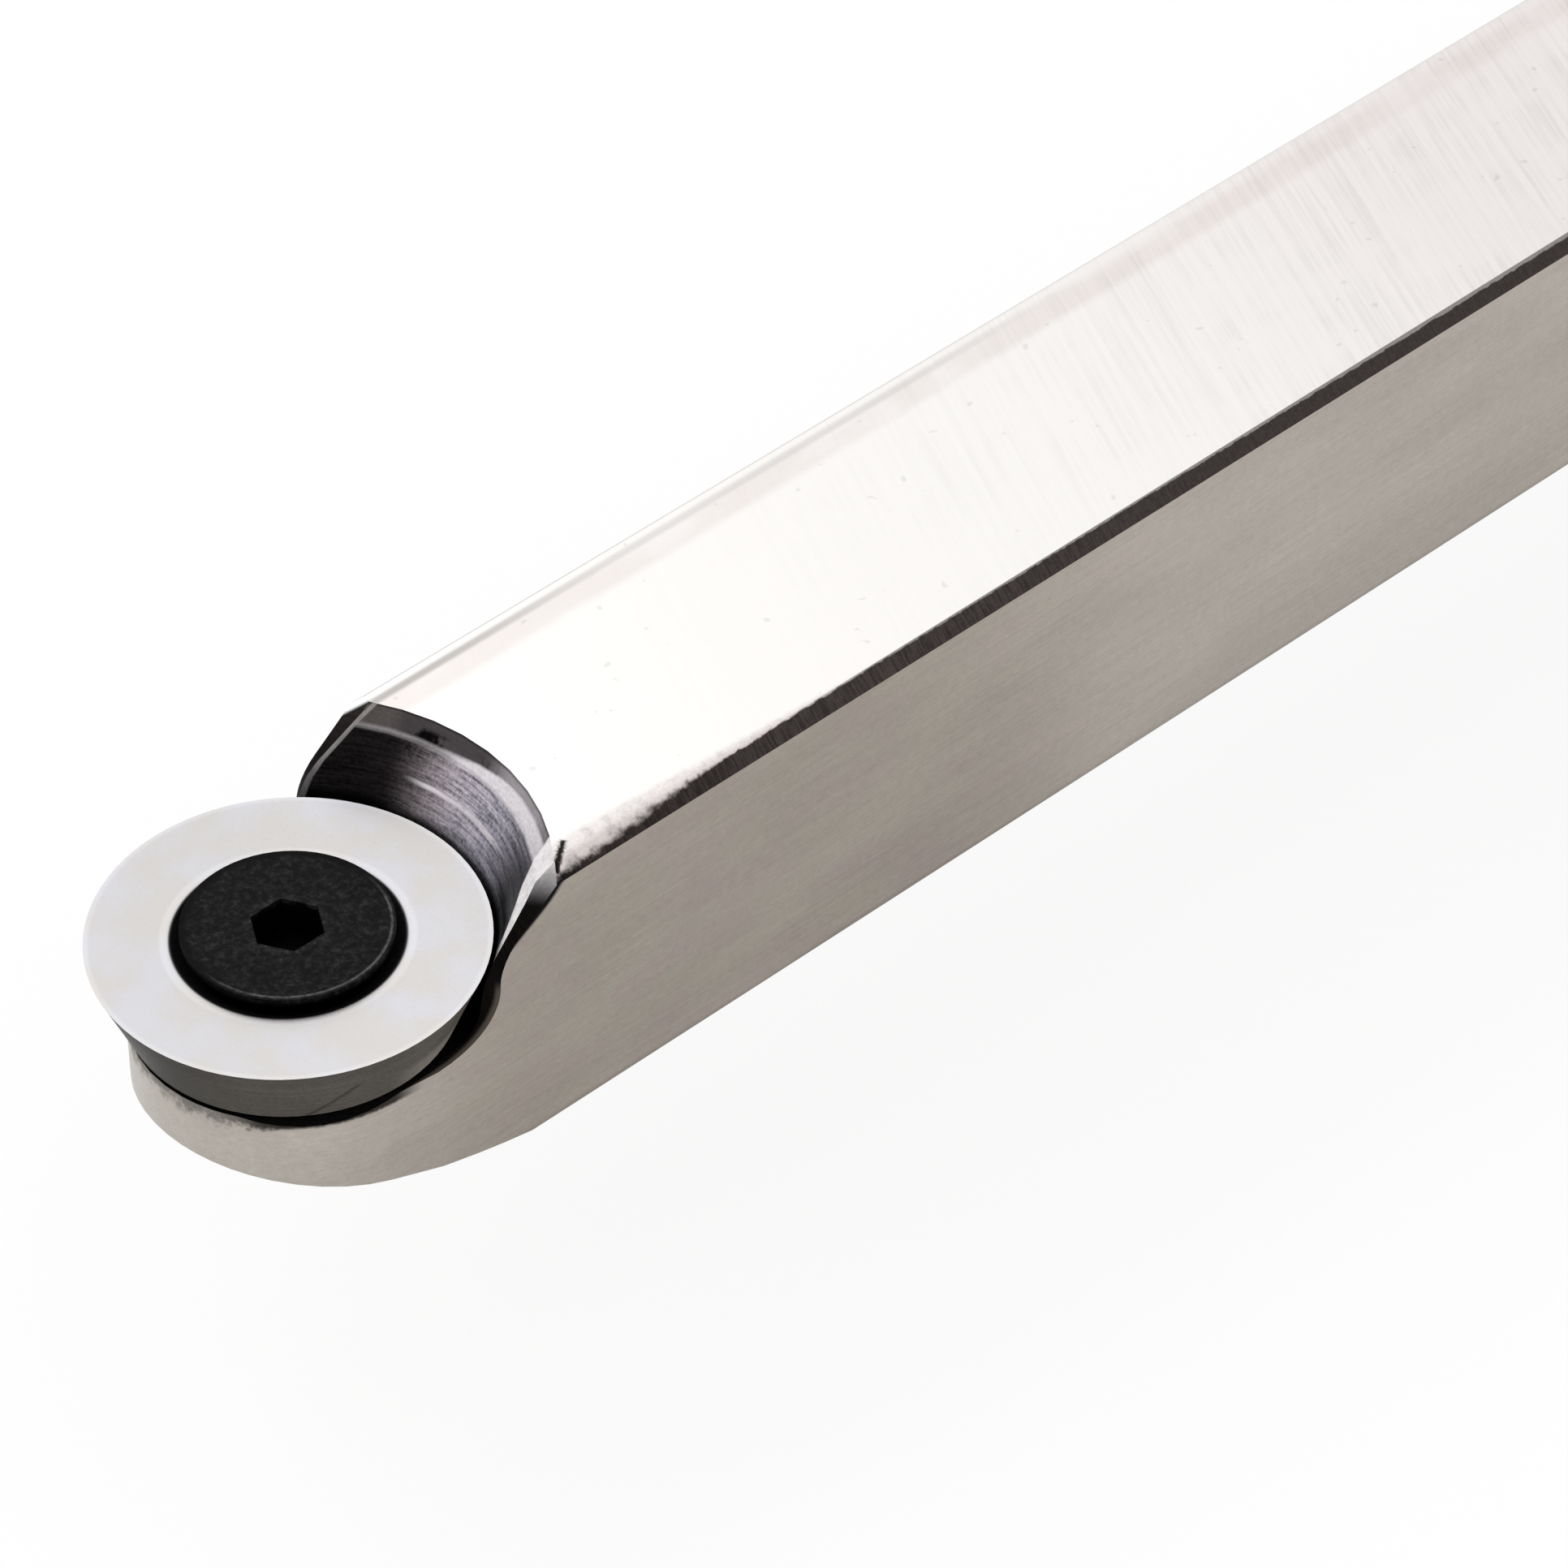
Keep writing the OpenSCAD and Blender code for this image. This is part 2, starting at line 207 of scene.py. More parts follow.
class BarSpot:
    """What the bar's paints share: where a point lies, the noises there and the masks of faces."""

    def __init__(self, g):
        spot = g.place(FACE)
        x, y, z = g.split(spot)
        nx, ny, nz = g.split(g.normal())
        outward = g.product(ny, g.math("SIGN", y))
        self.spot, self.x, self.y, self.z = spot, x, y, z
        self.nx, self.nz, self.outward = nx, nz, outward
        self.reach = g.math("ABSOLUTE", y)
        self.near_side = g.ramp(y, 0.5, -0.5)
        self.far_side = g.inverse(self.near_side)

        # The ways round and out from the pocket's axis
        from_x = g.minus(x, POCKET_X)
        from_y = g.minus(y, POCKET_Y)
        self.angle = g.math("ARCTAN2", from_y, from_x)
        radius = g.length(from_x, from_y, 0.0)
        outflow = g.total(g.product(nx, from_x), g.product(ny, from_y))
        facing_in = g.math("DIVIDE", outflow, g.product(radius, -1.0))

        # Streaks along the bar, grinding lines across its top, milling marks round the pocket
        self.streaks = g.noise(g.stretch(spot, 0.12, 3.0, 9.0), detail=4.0, roughness=0.62)
        across = g.join(g.total(g.product(x, 4.5), g.product(y, -2.0)),
                        g.total(g.product(x, 0.05), g.product(y, 0.11)), z)
        self.across = g.noise(across, detail=3.0, roughness=0.6)
        rings = g.join(g.product(self.angle, 4.0), g.product(z, 7.0), g.product(radius, 7.0))
        self.rings = g.noise(rings, detail=4.0, roughness=0.7)

        # Broad patches, blotches, grain and a few pits
        self.patches = g.noise(g.stretch(spot, 0.09, 0.3, 0.3), detail=3.0)
        self.blush = g.noise(g.stretch(spot, 0.25, 0.5, 0.5), detail=3.0)
        self.grit = g.noise(spot, scale=7.0, detail=3.0, roughness=0.7)
        self.blots = g.noise(spot, scale=2.2, detail=3.0, roughness=0.6)
        self.pits = g.ramp(g.noise(spot, scale=1.7, detail=1.0), 0.74, 0.78)

        # Masks: the top, what looks up at all, the pocket's wall and rim, the broken edges, and the
        # ledge under the cutter that is painted as shadow
        on_tip = g.ramp(x, TIP_END_X, TIP_END_X - 1.0)
        above_floor = g.ramp(z, FLOOR_Z + 0.05, FLOOR_Z + 0.15)
        self.on_top = g.ramp(nz, 0.93, 0.99)
        self.upward = g.ramp(nz, 0.3, 0.5)
        self.on_wall = g.product(g.ramp(facing_in, 0.15, 0.3), on_tip, above_floor)
        self.on_rim = g.product(self.on_wall, g.ramp(z, RIM_Z - 0.14, RIM_Z - 0.02))
        self.on_edge = g.product(g.ramp(outward, 0.2, 0.3), g.ramp(outward, 0.97, 0.9), self.upward)
        self.on_break = g.product(g.ramp(nx, -0.08, -0.2), g.ramp(outward, 0.0, 0.15),
                                  above_floor, on_tip)
        self.on_shadowed_ledge = g.product(self.upward, g.ramp(z, FLOOR_Z + 0.4, FLOOR_Z + 0.2), on_tip)


def side_paint(g, at):
    """Warm grey, lighter on the nose and far up the bar, darker along the lower edge."""
    side = g.layers(g.mix(g.ramp(at.blush, 0.4, 0.7), srgb(161, 154, 144), srgb(161, 150, 144)),
                    (g.ramp(at.x, 24.0, 42.0), srgb(180, 172, 164)),
                    (g.ramp(at.x, 6.0, -4.0), srgb(175, 169, 161)))
    foot = g.ramp(at.z, UNDER_Z + 0.75, UNDER_Z + 1.0, 0.82, 1.0)
    grain = g.total(g.ramp(at.streaks, 0.2, 0.8, 0.93, 1.06), g.vary(at.patches, -0.06, 0.05),
                    g.vary(at.grit, -0.03, 0.03), g.vary(at.blots, -0.03, 0.03),
                    g.product(at.pits, -0.05))
    return g.tint(side, g.product(grain, foot))


def under_cutter_shadow_mask(g, at):
    """Painted shadow: the dark, ragged line round the nose under the cutter, paler and broken at the
    front.
    """
    front = (-5.6, -4.2)
    ragged = g.product(g.total(g.vary(at.grit, -0.12, 0.12), g.vary(at.blots, -0.25, 0.25)),
                       g.ramp(at.x, *front, 1.0, 0.12))
    height = g.total(g.minus(at.z, FLOOR_Z), ragged)
    band = g.ramp(height, g.ramp(at.x, *front, -0.75, -0.46), g.ramp(at.x, *front, -0.05, -0.28))
    return g.product(band, g.ramp(at.x, 1.2, -0.4), g.ramp(at.nz, 0.6, 0.3),
                     g.ramp(at.x, -5.8, -4.6, 0.6, 0.95))


def corner_shade_mask(g, at):
    """Painted shade: a dark band that rounds off the upper corner of the near side."""
    off_shoulder = g.minus(g.minus(at.x, at.z), 5.5)
    off_corner = g.total(g.product(off_shoulder, 0.7), g.ramp(at.z, 1.7, -0.2, 0.0, 0.6))
    return g.product(at.near_side, g.ramp(at.outward, 0.95, 0.98), g.ramp(off_corner, 0.36, 0.10),
                     g.ramp(at.z, 0.0, 0.4), g.ramp(at.x, 9.0, 8.0))


def top_paint(g, at):
    """Nearly white: slanting lines farther up, and a grey line and band inside the far edge."""
    far_line = g.product(g.near(at.y, 5.35, 0.05, 0.25), g.ramp(at.x, 10.0, 22.0, 0.85, 0.35),
                         g.ramp(at.x, 48.0, 34.0))
    far_band = g.product(g.near(at.y, 4.7, 0.3, 0.6), g.ramp(at.blush, 0.25, 0.55, 0.4, 1.0))
    top = g.layers(g.mix(g.ramp(at.x, 34.0, 66.0), srgb(248, 247, 244), srgb(240, 236, 234)),
                   (g.product(far_band, 0.45), srgb(226, 216, 212)),
                   (far_line, srgb(176, 172, 168)))
    lines = g.product(g.ramp(at.across, 0.35, 0.75), g.ramp(at.x, 20.0, 60.0, 0.1, 1.0),
                      g.ramp(at.blush, 0.35, 0.6, 0.4, 1.0))
    return g.tint(top, g.total(1.0, g.product(lines, -0.12), g.product(at.pits, -0.12)))


def dark_paint(g, at):
    """Painted shade for the dark broken edges and the near chamfer, blacker near the tip, with fine
    ticks across; the scratch shares it.
    """
    ticks = g.noise(g.stretch(at.spot, 9.0, 0.8, 0.8), detail=2.0)
    dark = g.mix(g.ramp(at.x, 6.5, 10.0), srgb(14, 10, 10), srgb(48, 42, 40))
    dark = g.mix(g.ramp(at.x, 10.0, 22.0), dark, srgb(62, 56, 54))
    ticking = g.product(g.ramp(ticks, 0.35, 0.65, -0.25, 0.25), g.ramp(at.x, 45.0, 25.0, 0.3, 1.0))
    return g.tint(dark, g.total(g.ramp(at.grit, 0.35, 0.7, 0.85, 1.1), ticking))


def chamfer_shade_mask(g, at):
    """Painted dark reflection on the chamfer of the near upper edge, narrower and ragged near the
    tip.
    """
    waver = g.product(g.ramp(at.x, 22.0, 12.0, 0.02, 0.06), g.vary(at.blots, 1.0, -1.0))
    border = g.total(g.ramp(at.x, 8.0, 16.0, 6.12, EDGE_Y + 0.04),
                     g.ramp(at.x, 30.0, 60.0, 0.0, 0.06), waver)
    soft = g.ramp(at.x, 18.0, 11.0, 0.03, 0.15)
    return g.product(at.near_side, g.ramp(g.minus(at.reach, border), g.product(soft, -1.0), soft),
                     g.ramp(at.z, 1.6, 1.9), g.ramp(at.outward, 0.95, 0.85))


def highlight_above_chamfer_layer(g, at):
    """Painted highlight: the bright, pinkish zone above the dark chamfer near the tip."""
    depth = g.ramp(at.x, 8.0, 24.0, 1.0, 0.25)
    mask = g.product(at.near_side, g.ramp(g.minus(g.total(at.reach, depth), EDGE_Y), 0.0, 0.5),
                     at.upward, g.ramp(at.x, 7.2, 7.6), g.inverse(at.on_wall),
                     g.ramp(at.x, 28.0, 18.0))
    highlight_above_chamfer = g.mix(g.ramp(at.reach, 5.4, 6.0), srgb(238, 232, 230), srgb(212, 203, 201))
    return mask, g.tint(highlight_above_chamfer, g.total(g.ramp(at.blots, 0.42, 0.75, 1.0, 0.78),
                                      g.vary(at.grit, 0.06, -0.08)))


def slash_mask(g, at):
    """A dark scratch beside the shoulder, slanting across the corner."""
    along, aside = g.minus(at.x, SLASH_X), g.minus(at.y, SLASH_Y)
    off = g.total(g.product(along, 0.6), g.product(aside, -0.8), 0.12)
    way = g.total(g.product(along, -0.8), g.product(aside, -0.6))
    wide = g.ramp(at.grit, 0.35, 0.65, 0.01, 0.08)
    return g.product(g.ramp(g.math("ABSOLUTE", off), g.total(wide, 0.15), wide),
                     g.near(way, 0.6, 0.7, 0.12), at.upward)


def wall_paint(g, at):
    """Milled wall: painted light in the middle, painted shade at both ends and below, a painted
    highlight line at its curve.
    """
    wall = g.mix(g.ramp(at.angle, 0.5, -0.3), srgb(184, 171, 173), srgb(192, 188, 202))
    wall = g.tint(wall, g.total(g.ramp(at.rings, 0.25, 0.75, 0.30, 1.50),
                                g.vary(at.grit, -0.3, 0.3)))
    # Painted shade: darker at both ends of the wall and low down
    far_end_shade = g.product(g.ramp(at.angle, 0.34, 0.50), g.ramp(at.z, 0.3, -0.3, 0.0, 0.7))
    near_end_shade = g.ramp(at.angle, -0.10, -0.62, 1.0, g.ramp(at.z, 1.3, 2.0, 0.07, 0.3))
    wall = g.tint(wall, g.product(g.ramp(at.angle, 0.42, -0.02, 0.04, 1.0), g.inverse(far_end_shade),
                                  g.ramp(at.z, -0.6, 0.0, 0.1, 1.0), near_end_shade))
    # Painted highlight along the wall's curve
    arc = g.product(g.near(at.z, CURVE_Z, 0.03, 0.10), g.near(at.angle, -0.03, 0.20, 0.16),
                    g.ramp(at.rings, 0.3, 0.5, 0.3, 1.0))
    return g.mix(arc, wall, srgb(236, 230, 236))


def rim_paint(g, at):
    """Bevel: grey at the far corner, then dark; its bright inner arc, a painted highlight, widens to
    the near side.
    """
    rise = g.ramp(at.z, RIM_Z, TOP_Z)
    wavering = g.total(at.angle, g.vary(at.blots, -0.04, 0.04))
    blob = g.product(g.near(wavering, BLOB_ANGLE, 0.02, 0.06), g.ramp(rise, 0.8, 0.4))
    second_blob = g.product(g.near(wavering, SECOND_BLOB_ANGLE, 0.01, 0.05),
                            g.near(rise, 0.5, 0.1, 0.3))
    # Painted highlight along the bevel's inner arc
    highlight_width = g.ramp(at.angle, 0.22, -0.30, -0.10, 0.60)
    inner_arc_highlight = g.ramp(g.minus(rise, highlight_width), 0.2, -0.05)
    rim = g.layers(g.mix(g.ramp(at.angle, 0.36, 0.46), srgb(76, 72, 73), srgb(100, 95, 93)),
                   (blob, srgb(14, 12, 13)),
                   (g.ramp(at.angle, 0.0, -0.2), srgb(160, 156, 160)),
                   (g.product(second_blob, 0.8), srgb(60, 57, 58)),
                   (g.ramp(at.angle, -0.40, -0.55), srgb(136, 130, 132)),
                   (inner_arc_highlight, srgb(228, 224, 228)))
    rim = g.tint(rim, g.total(g.vary(at.grit, 0.86, 1.04),
                              g.product(g.ramp(at.rings, 0.5, 0.8), -0.22)))
    return g.tint(rim, g.ramp(at.z, TOP_Z - 0.02, TOP_Z - 0.08, 0.45, 1.0))


def highlight_strip_layer(g, at):
    """Painted highlights: bright strips that lead down beside the wall, wide on the near side, thin
    on the far one.
    """
    leaning = g.most(g.minus(at.z, 0.2), 0.0)
    lean = g.minus(0.31, g.product(at.near_side, 0.13))
    inset = g.minus(g.minus(WALL_END_Y, g.product(leaning, lean)), at.reach)
    near_strip = g.product(at.near_side, g.ramp(inset, g.ramp(at.z, 0.2, 1.4, 0.50, 0.98),
                                                g.ramp(at.z, 0.2, 1.4, 0.38, 0.86)),
                           g.ramp(at.z, -0.6, 0.5))
    far_off = g.minus(inset, g.ramp(at.z, 0.2, 0.8, 0.08, 0.0))
    far_strip = g.product(at.far_side, g.near(far_off, 0.0, 0.06, 0.06), g.ramp(at.z, -1.2, -0.4),
                          g.ramp(at.nx, -0.2, -0.4))
    far_grey = g.mix(g.ramp(at.z, 0.0, 1.2), srgb(104, 102, 101), srgb(140, 137, 135))
    strip = g.tint(g.mix(at.far_side, srgb(240, 236, 237), far_grey),
                   g.total(g.vary(at.grit, 0.86, 1.02), g.ramp(at.blots, 0.35, 0.7, 0.0, -0.15)))
    return g.most(g.product(at.on_wall, near_strip), far_strip), strip


def bar_steel():
    """Ground steel: pale top, warm grey sides, milled pocket, broken edges in painted shade, and
    painted light and shade near the tip.
    """
    g = Graph(bpy.data.materials.new("bar_steel_ground"))
    at = BarSpot(g)
    dark = dark_paint(g, at)
    on_under_cutter_shadow = under_cutter_shadow_mask(g, at)
    on_corner_shade = corner_shade_mask(g, at)
    on_chamfer_shade = chamfer_shade_mask(g, at)
    on_slash = slash_mask(g, at)
    on_highlight_above_chamfer, highlight_above_chamfer = highlight_above_chamfer_layer(g, at)
    on_highlight_strips, strip = highlight_strip_layer(g, at)

    # Painted reflection: the far break is painted white where it looks up at the backdrop
    break_backdrop_reflection = g.product(at.far_side, g.ramp(g.total(at.y, at.z), 8.0, 8.2))
    # Painted shadow: the ledge under the cutter's overhang is near black
    ledge = g.tint(srgb(16, 14, 14), g.ramp(at.grit, 0.35, 0.7, 0.5, 1.3))
    # Lower on the near side, the break and the ledge turn a paler brown
    paler_lower_break = g.product(at.near_side, g.ramp(at.reach, 6.12, 6.28), g.ramp(at.z, -0.9, -1.6))

    # Painted light and shade in these layers: shadow under the cutter and on the ledge, shade on the
    # near corner, chamfer and broken edges, highlights above the chamfer and in the strips, and the
    # backdrop's reflection on the far break.
    color = g.layers(side_paint(g, at),
                     (on_under_cutter_shadow, srgb(30, 26, 23)),
                     (on_corner_shade, srgb(14, 10, 10)),
                     (at.on_top, top_paint(g, at)),
                     (at.on_edge, srgb(206, 202, 198)),
                     (at.on_wall, wall_paint(g, at)),
                     (at.on_rim, rim_paint(g, at)),
                     (on_highlight_above_chamfer, highlight_above_chamfer),
                     (on_slash, dark),
                     (on_chamfer_shade, dark),
                     (at.on_break, dark),
                     (g.product(at.on_break, break_backdrop_reflection), srgb(250, 250, 250)),
                     (on_highlight_strips, strip),
                     (at.on_shadowed_ledge, ledge),
                     (g.product(paler_lower_break, g.most(at.on_break, at.on_shadowed_ledge)), srgb(84, 77, 70)))

    # What is dull, so that its tone doesn't hang on what it reflects
    deep = g.product(at.on_wall, g.ramp(at.z, 0.3, -0.2))
    matte = g.most(at.on_shadowed_ledge, on_highlight_strips, on_highlight_above_chamfer, on_slash, on_chamfer_shade, at.on_break, on_under_cutter_shadow,
                   on_corner_shade, deep)
    off_top = g.inverse(at.on_top)
    rough = g.total(g.product(g.ramp(at.streaks, 0.2, 0.8, -0.05, 0.05), off_top),
                    g.product(matte, 0.3), 0.29)
    relief = g.total(g.product(at.streaks, off_top, 0.5), g.product(at.rings, at.on_wall, 3.0),
                     g.product(at.across, at.on_top, g.ramp(at.x, 15.0, 60.0, 0.0, 0.3)))
    return g.finish(color=color, metallic=g.inverse(matte), roughness=rough, specular=0.03,
                    normal=g.bump(relief, 0.25, 0.02))


def cone_tint(g, z, rightward, lines, grit):
    """How bright the cutter's side is: turning lines, painted shade on the left, a foot lifted by
    painted light, one scratch.
    """
    turned = g.total(g.vary(lines, 0.88, 1.1), g.vary(grit, -0.15, 0.15))
    foot = g.product(g.ramp(rightward, 3.4, 5.4), g.ramp(z, -1.5, -2.6, 0.0, 1.6))
    shade = g.total(0.96, g.ramp(rightward, -1.0, -5.0, 0.0, -0.48),
                    g.ramp(rightward, 3.0, 6.0, 0.0, 0.08), foot)
    scratch = g.product(g.near(g.total(rightward, g.product(z, -1.15)), 4.06, 0.04, 0.2),
                        g.ramp(z, -1.1, -1.5), -0.45)
    return g.product(turned, shade, g.total(1.0, scratch))


def carbide():
    """Cutter: fine ground face with painted highlights and shading, darker cone, sink painted black
    as shade.
    """
    g = Graph(bpy.data.materials.new("carbide_ground"))
    spot = g.place(FACE)
    x, y, z = g.split(spot)
    radius = g.length(x, y, 0.0)
    rightward = g.minus(g.product(x, 0.77), g.product(y, 0.64))
    grit = g.noise(spot, scale=6.0, detail=4.0, roughness=0.7)
    fine = g.noise(spot, scale=30.0, detail=2.0)
    clouds = g.ramp(g.noise(spot, scale=0.35, detail=3.0), 0.35, 0.65)
    lines = g.noise(g.join(g.product(radius, 6.0), g.product(z, 6.0), 0.0), detail=2.0)
    on_face = g.ramp(g.split(g.normal())[2], 0.9, 0.98)
    outside = g.ramp(radius, CUTTER_R * 0.72, CUTTER_R * 0.76)

    # Painted highlights make the face a little brighter at both of its edges, and painted shade
    # makes it black where the sink begins
    edge_highlights = g.total(1.0, g.product(g.near(radius, SINK_R + 0.3, 0.05, 0.15), 0.1),
                           g.ramp(radius, CUTTER_R - 0.25, CUTTER_R - 0.1, 0.0, 0.1))
    # Painted shading: the face darkens a little towards the left
    face = g.tint(g.mix(clouds, srgb(202, 200, 197), srgb(204, 204, 208)),
                  g.product(g.total(g.vary(grit, 0.98, 1.01), g.vary(fine, -0.02, 0.02)),
                            g.ramp(rightward, -CUTTER_R, CUTTER_R, 0.93, 1.05), edge_highlights,
                            g.ramp(radius, SINK_R + 0.03, SINK_R + 0.15, 0.02, 1.0)))
    cone = g.tint(g.mix(clouds, srgb(77, 73, 68), srgb(81, 78, 74)),
                  cone_tint(g, z, rightward, lines, grit))
    # Painted shade: the sink is near black
    sink = g.tint(srgb(20, 20, 21), g.vary(grit, 0.7, 1.3))
    return g.finish(color=g.mix(on_face, g.mix(outside, sink, cone), face), metallic=on_face,
                    specular=0.01, roughness=g.ramp(grit, 0.2, 0.8, 0.26, 0.36),
                    normal=g.bump(grit, 0.08, 0.01))


def black_oxide():
    """Screws: mottled black oxide, with painted highlights round the hexagon and on the head's near
    edge, and painted shade in the socket, down the head's side and at the far edge.
    """
    g = Graph(bpy.data.materials.new("black_oxide_steel"))
    spot = g.place(FACE)
    x, y, z = g.split(spot)
    radius = g.length(x, y, 0.0)
    grit = g.noise(spot, scale=5.0, detail=5.0, roughness=0.75)
    grain = g.noise(spot, scale=3.4, detail=5.0, roughness=0.75)
    mottle = g.noise(spot, scale=1.3, detail=4.0, roughness=0.6)
    # Painted shade: down to a tenth of the colour inside the socket and below the head's top
    open_face = g.product(g.ramp(z, HEAD_TOP_Z - 0.25, HEAD_TOP_Z - 0.10),
                          g.ramp(radius, HEX_R, HEX_R + 0.08))
    # Painted highlights: a ring round the hexagon, and the head's near edge
    hex_ring_highlight = g.near(radius, HEX_R + 0.23, 0.08, 0.12)
    edge = g.product(g.near(radius, HEAD_R, 0.02, 0.06), g.ramp(z, HEAD_TOP_Z - 0.05, HEAD_TOP_Z),
                     g.ramp(y, 0.5, -2.0), g.ramp(grain, 0.35, 0.6, 0.25, 0.9))
    # Painted shade at the head's far edge
    far_edge_shade = g.product(g.ramp(radius, HEAD_R - 0.32, HEAD_R + 0.03), g.ramp(y, -2.2, -0.2))
    color = g.mix(g.ramp(grain, 0.42, 0.72), srgb(9, 9, 9), srgb(40, 39, 41))
    color = g.tint(color, g.product(g.total(g.vary(mottle, 0.7, 1.4), g.product(hex_ring_highlight, 0.6)),
                                    g.total(g.product(open_face, 0.9), 0.1)))
    color = g.tint(color, g.total(1.0, g.product(far_edge_shade, -0.85)))
    return g.finish(color=g.mix(edge, color, srgb(88, 87, 88)), metallic=0.15,
                    roughness=g.ramp(grit, 0.2, 0.8, 0.42, 0.56), specular=0.07,
                    normal=g.bump(grit, 0.2, 0.02))


def turning_rings(g, spot, scale):
    """Fine rings that a lathe leaves, along the handle's axis."""
    along = g.split(spot)[0]
    return g.noise(g.join(g.product(along, scale), 0.0, 0.0), detail=4.0, roughness=0.7)


def socket_steel():
    """Turned steel: fine rings round the length, flats brushed across."""
    g = Graph(bpy.data.materials.new("socket_steel_turned"))
    spot = g.place(AXIS)
    lathe = turning_rings(g, spot, 9.0)
    brushed = g.noise(g.stretch(spot, 6.0, 0.4, 0.4), detail=3.0, roughness=0.6)
    cloud = g.noise(spot, scale=0.12, detail=3.0)
    color = g.tint(g.mix(g.ramp(cloud, 0.35, 0.65), srgb(184, 184, 186), srgb(200, 200, 201)),
                   g.total(g.ramp(lathe, 0.25, 0.75, 0.93, 1.05), g.vary(brushed, -0.03, 0.03)))
    return g.finish(color=color, metallic=1.0, roughness=g.ramp(brushed, 0.2, 0.8, 0.22, 0.36),
                    normal=g.bump(lathe, 0.15, 0.03))


def brass():
    """Ferrule: polished brass with faint turning rings and a slight tarnish."""
    g = Graph(bpy.data.materials.new("brass_turned"))
    spot = g.place(AXIS)
    lathe = turning_rings(g, spot, 7.0)
    tarnish = g.noise(spot, scale=0.25, detail=5.0, roughness=0.65)
    color = g.tint(g.mix(g.ramp(tarnish, 0.4, 0.8), srgb(226, 192, 120), srgb(202, 166, 100)),
                   g.ramp(lathe, 0.25, 0.75, 0.95, 1.03))
    return g.finish(color=color, metallic=1.0, roughness=g.ramp(tarnish, 0.3, 0.8, 0.18, 0.30),
                    normal=g.bump(lathe, 0.12, 0.03))


def ash_wood():
    """Oiled ash: growth rings cut lengthwise by the turning, with short dark pores."""
    g = Graph(bpy.data.materials.new("ash_wood_oiled"))
    spot = g.place(AXIS)
    y, z = g.split(spot)[1:]
    wander = g.noise(g.stretch(spot, 0.007, 0.02, 0.02), detail=1.0)
    waver = g.noise(g.stretch(spot, 0.03, 0.12, 0.12), detail=2.0)
    from_pith = g.length(0.0, g.minus(y, PITH_Y), g.minus(z, PITH_Z))
    rings = g.math("FRACT", g.total(g.math("DIVIDE", from_pith, RING_WIDTH),
                                    g.product(wander, 4.0), g.product(waver, 0.35)))
    late = g.product(g.ramp(rings, 0.35, 0.92), g.ramp(rings, 1.0, 0.94),
                     g.vary(wander, 0.65, 1.0))
    fibre = g.noise(g.stretch(spot, 0.05, 2.6, 2.6), detail=4.0, roughness=0.6)
    flecks = g.noise(g.stretch(spot, 0.22, 5.0, 5.0), detail=2.0)
    pores = g.product(g.ramp(flecks, 0.60, 0.66), g.ramp(rings, 0.35, 0.1))
    color = g.tint(g.mix(late, srgb(207, 168, 119), srgb(170, 124, 79)),
                   g.ramp(fibre, 0.25, 0.75, 0.84, 1.09))
    color = g.mix(g.product(pores, 0.7), color, srgb(104, 68, 40))
    height = g.minus(g.product(fibre, 0.4), pores)
    return g.finish(color=color, metallic=0.0, roughness=g.ramp(fibre, 0.2, 0.8, 0.34, 0.5),
                    specular=0.45, coat=0.15, coat_roughness=0.25,
                    normal=g.bump(height, 0.3, 0.08))


FINISHES = {
    "bar_steel": bar_steel(),
    "carbide": carbide(),
    "black_oxide": black_oxide(),
    "socket_steel": socket_steel(),
    "brass": brass(),
    "ash_wood": ash_wood(),
}
for part in frame["record"]["subparts"]:
    node = frame["nodes"][part["node"]]
    for place in node.material_slots:
        place.material = FINISHES[part["material_slot"]]


# Studio: a white floor and world, a large soft lamp behind, a dimmer room in front

FLOOR_HALF_M = 3.0
FLOOR_COLOR = (0.97, 0.97, 0.97, 1.0)
FLOOR_GLOW = 0.8

WHITE = (1.0, 1.0, 1.0, 1.0)
ROOM_COLOR = (1.0, 0.985, 0.99)
ROOM_DIM, ROOM_LIT = 0.40, 0.96

KEY_AT_M = (-0.1, 0.9, 1.1)
KEY_AIM_M = (0.0, 0.0, 0.0)
KEY_SIZE_M = 0.9
KEY_POWER = 2.6


def floor_paint():
    """Matt white, mostly self-lit for the camera, which leaves a soft shadow."""
    g = Graph(bpy.data.materials.new("floor_white"))
    lit = g.add("ShaderNodeBsdfDiffuse", {"Color": FLOOR_COLOR})
    white = g.add("ShaderNodeEmission", {"Color": WHITE, "Strength": 1.0})
    share = g.product(g.add("ShaderNodeLightPath", {}, "Is Camera Ray"), FLOOR_GLOW)
    shader = g.add("ShaderNodeMixShader", {0: share, 1: lit, 2: white})
    g.add("ShaderNodeOutputMaterial", {"Surface": shader})
    return g.owner


def studio_floor():
    """A square on the ground, under the part."""
    mesh = bpy.data.meshes.new("floor")
    corners = [(x * FLOOR_HALF_M, y * FLOOR_HALF_M, 0)
               for x, y in ((-1, -1), (1, -1), (1, 1), (-1, 1))]
    mesh.from_pydata(corners, [], [(0, 1, 2, 3)])
    mesh.materials.append(floor_paint())
    floor = bpy.data.objects.new("floor", mesh)
    bpy.context.scene.collection.objects.link(floor)
    return floor


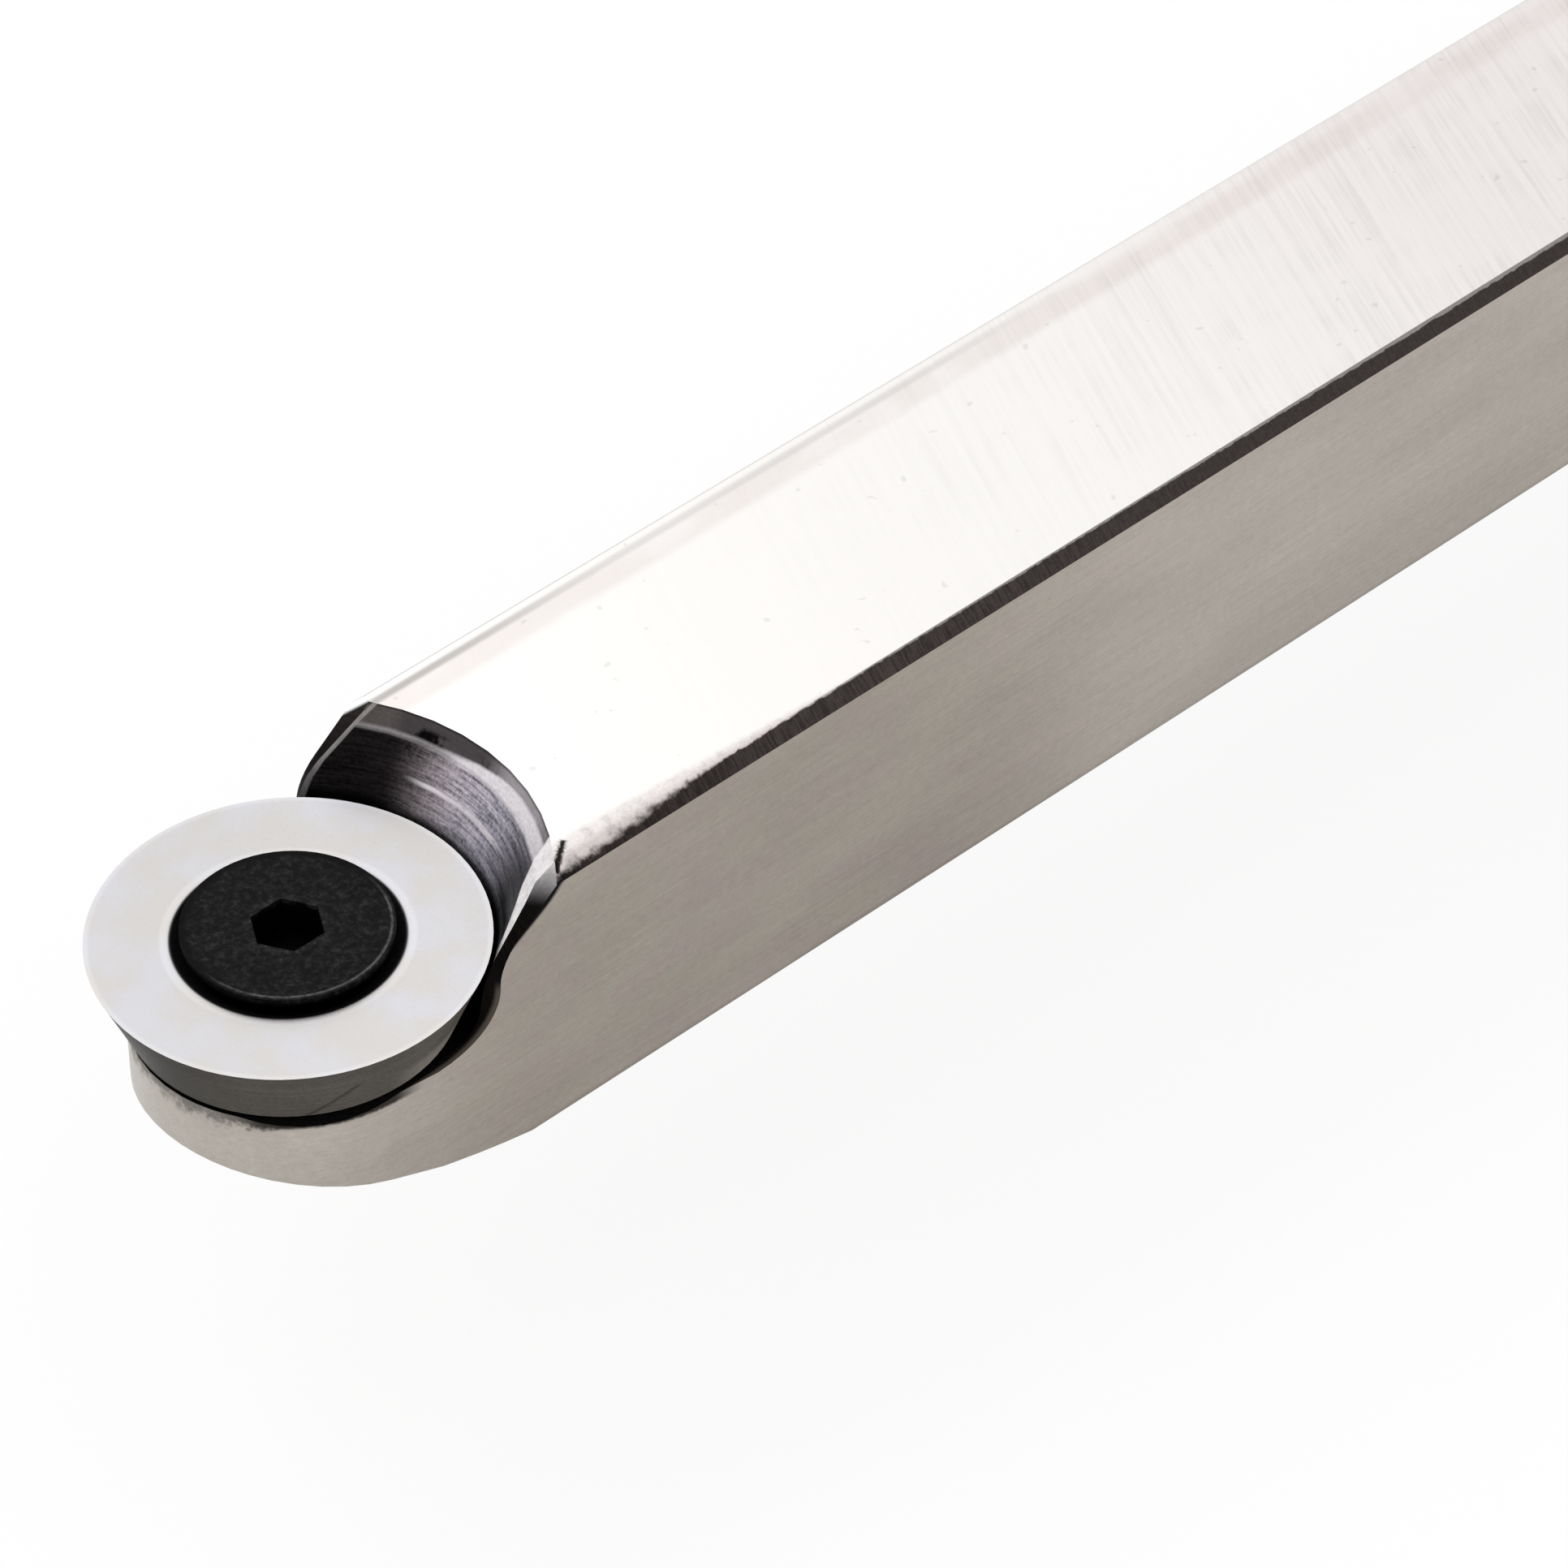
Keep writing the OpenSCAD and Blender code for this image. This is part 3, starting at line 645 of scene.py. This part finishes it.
def studio_world():
    """White for the camera and for diffuse light; for reflections a lit back and a dim front."""
    g = Graph(bpy.data.worlds.new("studio"))
    y, z = g.split(g.add("ShaderNodeTexCoord", {}, "Generated"))[1:]
    seen = g.product(g.ramp(y, -0.25, 0.35), g.ramp(z, -0.1, 0.6, 0.25, 1.0))
    room = g.tint(ROOM_COLOR, g.ramp(seen, 0.0, 1.0, ROOM_DIM, ROOM_LIT))
    color = g.layers(WHITE, (g.add("ShaderNodeLightPath", {}, "Is Glossy Ray"), room),
                     (g.add("ShaderNodeLightPath", {}, "Is Camera Ray"), WHITE))
    shader = g.add("ShaderNodeBackground", {"Color": color, "Strength": 1.0})
    g.add("ShaderNodeOutputWorld", {"Surface": shader})
    return g.owner


def key_lamp():
    """The large square lamp, placed and aimed."""
    data = bpy.data.lights.new("key_lamp", "AREA")
    data.size = KEY_SIZE_M
    data.energy = KEY_POWER
    lamp = bpy.data.objects.new("key_lamp", data)
    lamp.location = KEY_AT_M
    way = Vector(KEY_AIM_M) - Vector(KEY_AT_M)
    lamp.rotation_euler = way.to_track_quat("-Z", "Y").to_euler()
    bpy.context.scene.collection.objects.link(lamp)


floor = studio_floor()
bpy.context.scene.world = studio_world()
key_lamp()


# Camera, from the perspective of the photograph

CAMERA_AT = Vector((-396.07, -168.50, 222.39)) * MM
CAMERA_AIM = Vector((-248.46, -6.34, 22.275)) * MM
CAMERA_ROLL = math.radians(-0.572)
CAMERA_LENS = 182.93
CAMERA_SENSOR = 36.0
CAMERA_NEAR_M = 0.01

camera_data = bpy.data.cameras.new("camera")
camera_data.lens = CAMERA_LENS
camera_data.sensor_width = CAMERA_SENSOR
camera_data.clip_start = CAMERA_NEAR_M
camera = bpy.data.objects.new("camera", camera_data)
turned = (CAMERA_AIM - CAMERA_AT).to_track_quat("-Z", "Y").to_matrix().to_4x4()
roll = Matrix.Rotation(CAMERA_ROLL, 4, "Z")
camera.matrix_world = Matrix.Translation(CAMERA_AT) @ turned @ roll
bpy.context.scene.collection.objects.link(camera)
bpy.context.scene.camera = camera

bpy.context.scene.view_settings.view_transform = "Standard"
